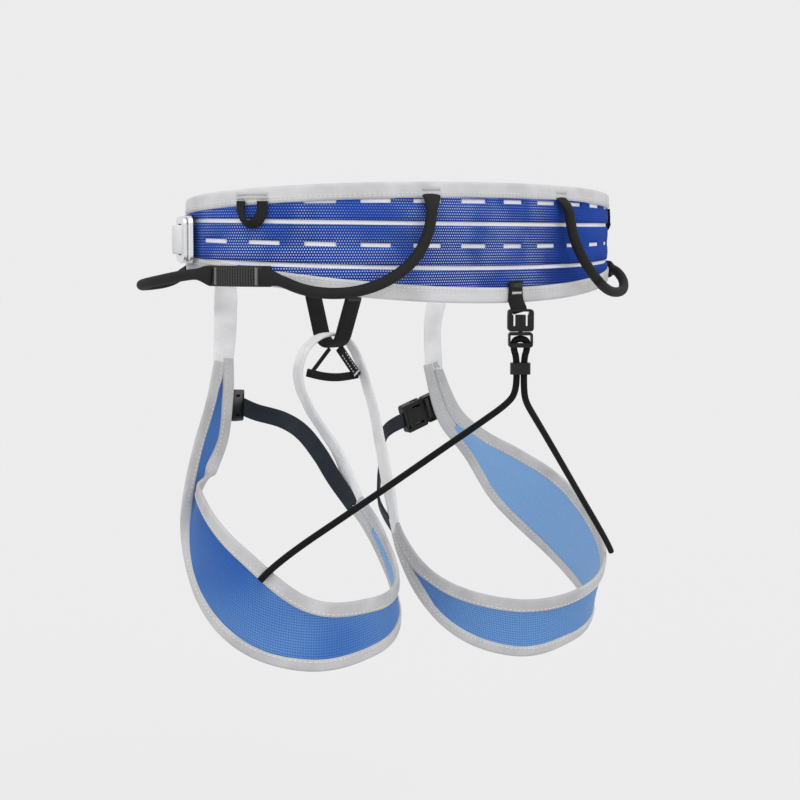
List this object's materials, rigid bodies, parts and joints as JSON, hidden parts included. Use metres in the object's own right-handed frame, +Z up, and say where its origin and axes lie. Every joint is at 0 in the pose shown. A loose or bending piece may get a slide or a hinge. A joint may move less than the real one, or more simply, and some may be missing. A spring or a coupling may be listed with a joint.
{
  "type": "climbing harness",
  "caption": "Lightweight climbing harness with a mesh waist belt, two leg loops, a belay loop, gear loops and an elastic rear riser.",
  "frame": {"origin": "middle of the waist opening, at half the belt's height at the back", "axes": "+Z up, -Y the way the wearer faces, +X the wearer's left"},
  "size_m": [0.382, 0.2353, 0.3357],
  "materials": {
    "belt_mesh": "open woven mesh, matte",
    "belt_liner": "light knitted mesh",
    "leg_mesh": "fine honeycomb mesh, matte",
    "edge_binding": "folded woven tape",
    "white_webbing": "flat woven webbing",
    "buckle_metal": "satin anodised",
    "black_webbing": "flat woven webbing",
    "slate_webbing": "fine woven webbing",
    "gear_loop_tube": "woven sleeve over a plastic core",
    "black_plastic": "moulded acetal",
    "elastic_cord": "braided elastic cord",
    "keeper_elastic": "woven elastic",
    "white_thread": "satin stitch thread"
  },
  "bodies": {
    "root": {"belt_mesh_panel": "belt_mesh", "belt_liner": "belt_liner", "belt_top_binding": "edge_binding", "belt_bottom_binding": "edge_binding", "waist_webbing": "white_webbing", "waist_webbing_tail": "white_webbing", "belt_end_tab_left": "black_webbing", "belt_end_tab_right": "black_webbing", "waist_buckle_frame": "buckle_metal", "waist_buckle_slider": "buckle_metal", "gear_loop_webbing_left": "black_webbing", "gear_loop_webbing_right": "black_webbing", "side_strap_anchor_left": "white_webbing", "side_strap_anchor_right": "white_webbing", "riser_tab": "black_webbing", "riser_buckle_socket": "black_plastic", "riser_buckle_plug": "black_plastic", "riser_cord": "elastic_cord", "bartack_stitching": "white_thread"},
    "leg_loops": {"belay_keeper_strap": "black_webbing", "belay_loop": "black_webbing", "leg_bridge_strap": "white_webbing", "leg_lower_binding_left": "edge_binding", "leg_lower_binding_right": "edge_binding", "leg_panel_left": "leg_mesh", "leg_panel_right": "leg_mesh", "leg_upper_binding_left": "edge_binding", "leg_upper_binding_right": "edge_binding", "side_strap_left": "white_webbing", "side_strap_right": "white_webbing", "thigh_buckle_plug_left": "black_plastic", "thigh_buckle_plug_right": "black_plastic", "thigh_buckle_socket_left": "black_plastic", "thigh_buckle_socket_right": "black_plastic", "thigh_buckle_tab_left": "slate_webbing", "thigh_buckle_tab_right": "slate_webbing", "thigh_strap_left": "slate_webbing", "thigh_strap_right": "slate_webbing"},
    "gear_loop_rear_left": {"gear_loop_rear_left": "gear_loop_tube"},
    "gear_loop_rear_right": {"gear_loop_rear_right": "gear_loop_tube"},
    "gear_loop_front_left": {"gear_loop_front_left": "gear_loop_tube"},
    "gear_loop_front_right": {"gear_loop_front_right": "gear_loop_tube"},
    "haul_loop_left": {"haul_loop_left": "black_webbing"},
    "haul_loop_right": {"haul_loop_right": "black_webbing"},
    "webbing_keeper": {"webbing_keeper": "keeper_elastic"},
    "riser_cord_stop": {"riser_cord_stop": "black_plastic"},
    "riser_buckle_prong_left": {"riser_buckle_prong_left": "black_plastic"},
    "riser_buckle_prong_right": {"riser_buckle_prong_right": "black_plastic"},
    "thigh_buckle_prong_upper_left": {"thigh_buckle_prong_upper_left": "black_plastic"},
    "thigh_buckle_prong_lower_left": {"thigh_buckle_prong_lower_left": "black_plastic"},
    "thigh_buckle_prong_upper_right": {"thigh_buckle_prong_upper_right": "black_plastic"},
    "thigh_buckle_prong_lower_right": {"thigh_buckle_prong_lower_right": "black_plastic"}
  },
  "joints": [
    {"name": "leg_loops_drop", "type": "hinge", "parent": "root", "child": "leg_loops", "pos_m": [0, -0.1015, 0.011], "axis": [-1, 0, 0], "range_deg": [0, 22], "stiffness_Nm_per_rad": 0.6, "springref_deg": -20.05},
    {"name": "gear_loop_rear_left_lift", "type": "hinge", "parent": "root", "child": "gear_loop_rear_left", "pos_m": [0.06946, 0.09913, 0.024], "axis": [0.8018, -0.4194, -0.4257], "range_deg": [0, 60]},
    {"name": "gear_loop_front_left_lift", "type": "hinge", "parent": "root", "child": "gear_loop_front_left", "pos_m": [0.1806, 0.007, -0.021], "axis": [-0.3869, -0.922, -0.0151], "range_deg": [0, 23]},
    {"name": "haul_loop_left_lift", "type": "hinge", "parent": "root", "child": "haul_loop_left", "pos_m": [0.16402, 0.03847, 0.0235], "axis": [0.5734, -0.8192, 0], "range_deg": [0, 75]},
    {"name": "gear_loop_rear_right_lift", "type": "hinge", "parent": "root", "child": "gear_loop_rear_right", "pos_m": [-0.05155, 0.10288, 0.024], "axis": [0.8429, 0.3522, 0.4069], "range_deg": [0, 60]},
    {"name": "gear_loop_front_right_lift", "type": "hinge", "parent": "root", "child": "gear_loop_front_right", "pos_m": [-0.1806, 0.007, -0.021], "axis": [-0.3869, 0.922, 0.0151], "range_deg": [0, 46]},
    {"name": "haul_loop_right_lift", "type": "hinge", "parent": "root", "child": "haul_loop_right", "pos_m": [-0.16402, 0.03847, 0.0235], "axis": [0.5734, 0.8192, 0], "range_deg": [0, 75]},
    {"name": "webbing_keeper_slide", "type": "slide", "parent": "root", "child": "webbing_keeper", "axis": [0.9848, 0.1738, 0], "range_m": [-0.008, 0.008]},
    {"name": "riser_cord_stop_slide", "type": "slide", "parent": "root", "child": "riser_cord_stop", "axis": [0, 0, 1], "range_m": [0, 0.003]},
    {"name": "riser_prong_left_squeeze", "type": "slide", "parent": "root", "child": "riser_buckle_prong_left", "axis": [-0.769, 0.6392, 0], "range_m": [0, 0.0014], "stiffness_N_per_m": 600, "springref_m": -0.0004},
    {"name": "riser_prong_right_squeeze", "type": "slide", "parent": "root", "child": "riser_buckle_prong_right", "axis": [0.769, -0.6392, 0], "range_m": [0, 0.0014], "stiffness_N_per_m": 600, "springref_m": -0.0004},
    {"name": "thigh_prong_upper_left_squeeze", "type": "slide", "parent": "leg_loops", "child": "thigh_buckle_prong_upper_left", "axis": [0.0809, 0.0588, -0.995], "range_m": [0, 0.0014], "stiffness_N_per_m": 600, "springref_m": -0.0004},
    {"name": "thigh_prong_lower_left_squeeze", "type": "slide", "parent": "leg_loops", "child": "thigh_buckle_prong_lower_left", "axis": [-0.0809, -0.0588, 0.995], "range_m": [0, 0.0014], "stiffness_N_per_m": 600, "springref_m": -0.0004},
    {"name": "thigh_prong_upper_right_squeeze", "type": "slide", "parent": "leg_loops", "child": "thigh_buckle_prong_upper_right", "axis": [-0.3037, 0.0327, -0.9522], "range_m": [0, 0.0014], "stiffness_N_per_m": 600, "springref_m": -0.0004},
    {"name": "thigh_prong_lower_right_squeeze", "type": "slide", "parent": "leg_loops", "child": "thigh_buckle_prong_lower_right", "axis": [0.3037, -0.0327, 0.9522], "range_m": [0, 0.0014], "stiffness_N_per_m": 600, "springref_m": -0.0004}
  ],
  "couplings": [
    {"joint": "riser_prong_right_squeeze", "follows": "riser_prong_left_squeeze", "ratio": 1},
    {"joint": "thigh_prong_lower_left_squeeze", "follows": "thigh_prong_upper_left_squeeze", "ratio": 1},
    {"joint": "thigh_prong_lower_right_squeeze", "follows": "thigh_prong_upper_right_squeeze", "ratio": 1}
  ]
}
